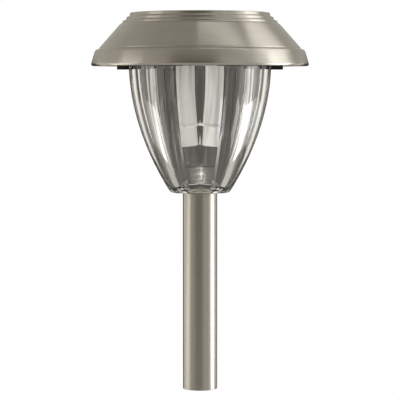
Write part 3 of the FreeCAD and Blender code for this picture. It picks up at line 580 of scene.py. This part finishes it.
plugShape = {"segments": 96, "bore": 6.5, "core": 7.8, "rib": 8.2, "ribPitch": 3.0, "ribHeight": 1.2,
             "firstRib": 1.2, "ribSlope": 0.2, "endWall": 2, "smoothAngle": 30}
plugLow, plugHigh = boxOf("pole_adapter")
plugLine = [(plugShape["bore"], plugLow[2]), (plugHigh[0], plugLow[2]), (plugHigh[0], poleHigh[2]),
            (plugShape["core"], poleHigh[2])]
ribBottom = poleHigh[2] + plugShape["firstRib"]
while ribBottom + plugShape["ribHeight"] < plugHigh[2]:
    plugLine += [(plugShape["core"], ribBottom), (plugShape["rib"], ribBottom + plugShape["ribSlope"]),
                 (plugShape["rib"], ribBottom + plugShape["ribHeight"] - plugShape["ribSlope"]),
                 (plugShape["core"], ribBottom + plugShape["ribHeight"])]
    ribBottom += plugShape["ribPitch"]
plugLine += [(plugShape["core"], plugHigh[2]), (0, plugHigh[2]), (0, plugHigh[2] - plugShape["endWall"]),
             (plugShape["bore"], plugHigh[2] - plugShape["endWall"])]
plug = turnedPiece("ribbedPlug", plugLine, plugShape["segments"], plugShape["smoothAngle"])
finishPiece(plug, "pole", looks["clear_polystyrene"], ["pole_adapter"])

floorShape = {"radius": 0.45, "height": -0.095, "segments": 128, "colour": "#F4F4F2", "roughness": 0.8}
clearSelection()
bpy.ops.mesh.primitive_circle_add(vertices=floorShape["segments"], radius=floorShape["radius"],
                                  fill_type="NGON", location=(0, 0, floorShape["height"]))
floor = bpy.context.object
floor.name = "floor"
floorMaterial = newMaterial("paleFloor", {"Roughness": floorShape["roughness"],
                                          "Base Color": linear(floorShape["colour"])})[0]
floor.data.materials.append(floorMaterial)

# light: a white sweep for the camera, and a darker room with bright sides for the steel and the lens

roomLook = {
    "strength": 1.3,
    # brightness round the room, in degrees from the camera, + to its right
    "around": [(-180, "#383633"), (-146, "#383633"), (-137, "#DAD8D2"), (-112, "#C6C3BD"), (-92, "#A9A59D"),
               (-60, "#AEAAA2"), (-38, "#98928A"), (-28, "#564D41"), (-14, "#382E22"), (-2, "#332E23"),
               (8, "#45443A"), (15, "#5C5C52"), (27, "#A9A9A1"), (44, "#B4B3AD"), (56, "#A9A7A0"),
               (72, "#E4E4E1"), (114, "#ECECE9"), (126, "#A2A19B"), (134, "#D8D6CF"), (140, "#E0DED7"),
               (148, "#383633"), (180, "#383633")],
    # how much of the ceiling's colour is mixed in, by the ray's rise
    "ceiling": "#92908B", "ceilingFrom": 0.45, "ceilingTo": 0.8,
    "table": "#A6A39B", "tableFrom": -0.25, "tableTo": -0.6,
    # the wall behind is lighter higher up
    "backWall": "#A5A29B", "backFrom": 0.04, "backTo": 0.12,
}
scene = bpy.context.scene
scene.view_settings.view_transform = "Standard"
world = bpy.data.worlds.new("studio")
world.use_nodes = True
scene.world = world
tree = world.node_tree
background = tree.nodes["Background"]
background.inputs["Color"].default_value = linear("#FFFFFF")
view = addNode(tree, "ShaderNodeTexCoord").outputs["Generated"]
split = addNode(tree, "ShaderNodeSeparateXYZ", {}, {"Vector": view})
toFront = addNode(tree, "ShaderNodeMath", {".operation": "MULTIPLY", "1": -1.0}, {"0": split.outputs["Y"]})
turn = addNode(tree, "ShaderNodeMath", {".operation": "ARCTAN2"},
               {"0": split.outputs["X"], "1": toFront.outputs["Value"]})
share = addNode(tree, "ShaderNodeMapRange", {"From Min": -math.pi, "From Max": math.pi},
                {"Value": turn.outputs["Value"]})
stops = [(0.5 + degrees / 360, colour) for degrees, colour in roomLook["around"]]
room = addNode(tree, "ShaderNodeValToRGB", {"stops": stops}, {"Fac": share.outputs["Result"]})
rise = addNode(tree, "ShaderNodeMapRange", {"From Min": roomLook["ceilingFrom"], "From Max": roomLook["ceilingTo"]},
               {"Value": split.outputs["Z"]})
backRise = addNode(tree, "ShaderNodeMath", {".operation": "MULTIPLY"},
                   {"0": split.outputs["Y"], "1": split.outputs["Z"]})
backShare = addNode(tree, "ShaderNodeMapRange", {"From Min": roomLook["backFrom"], "From Max": roomLook["backTo"]},
                    {"Value": backRise.outputs["Value"]})
withWall = addNode(tree, "ShaderNodeMix", {".data_type": "RGBA", "7": linear(roomLook["backWall"])},
                   {"Factor": backShare.outputs["Result"], "6": room.outputs["Color"]})
withCeiling = addNode(tree, "ShaderNodeMix", {".data_type": "RGBA", "7": linear(roomLook["ceiling"])},
                      {"Factor": rise.outputs["Result"], "6": withWall.outputs[2]})
drop = addNode(tree, "ShaderNodeMapRange", {"From Min": roomLook["tableFrom"], "From Max": roomLook["tableTo"]},
               {"Value": split.outputs["Z"]})
withTable = addNode(tree, "ShaderNodeMix", {".data_type": "RGBA", "7": linear(roomLook["table"])},
                    {"Factor": drop.outputs["Result"], "6": withCeiling.outputs[2]})
roomLight = addNode(tree, "ShaderNodeBackground", {"Strength": roomLook["strength"]},
                    {"Color": withTable.outputs[2]})
rays = addNode(tree, "ShaderNodeLightPath")
mix = addNode(tree, "ShaderNodeMixShader", {}, {"Fac": rays.outputs["Is Camera Ray"],
                                                "1": roomLight.outputs["Background"],
                                                "2": background.outputs["Background"]})
connect(tree, tree.nodes["World Output"], {"Surface": mix.outputs["Shader"]})


def softbox(name, place, target, width, height, power, colour):
    data = bpy.data.lights.new(name, "AREA")
    data.shape = "RECTANGLE"
    data.size = width
    data.size_y = height
    data.energy = power
    data.color = linear(colour)[:3]
    lamp = bpy.data.objects.new(name, data)
    lamp.location = place
    aim = [target[axis] - place[axis] for axis in range(3)]
    flat = math.hypot(aim[0], aim[1])
    lamp.rotation_euler = (math.pi / 2 + math.atan2(aim[2], flat), 0, math.atan2(-aim[0], aim[1]))
    bpy.context.collection.objects.link(lamp)


middle = (0, 0, 0.17)  # the lamps aim here, in metres like their places and sizes
softbox("leftSoftbox", (-1.0, -0.2, 0.3), middle, width=0.5, height=0.9, power=0.8, colour="#FFFAF2")
softbox("rightStrip", (1.1, 0.1, 0.25), middle, width=0.6, height=1.2, power=1.6, colour="#FFFFFF")
softbox("topStrip", (0.29, -0.1, 1.1), middle, width=0.12, height=0.7, power=0.42, colour="#FBFFF6")
softbox("topRight", (0.9, 0.25, 1.05), middle, width=0.9, height=0.7, power=1.7, colour="#FFFDF8")
softbox("lowRight", (0.75, 0.05, -0.2), middle, width=0.5, height=0.4, power=1.9, colour="#FFFFFF")
softbox("lowLeft", (-0.75, 0.08, -0.2), middle, width=0.5, height=0.4, power=0.8, colour="#FFFCF5")
print("lit")
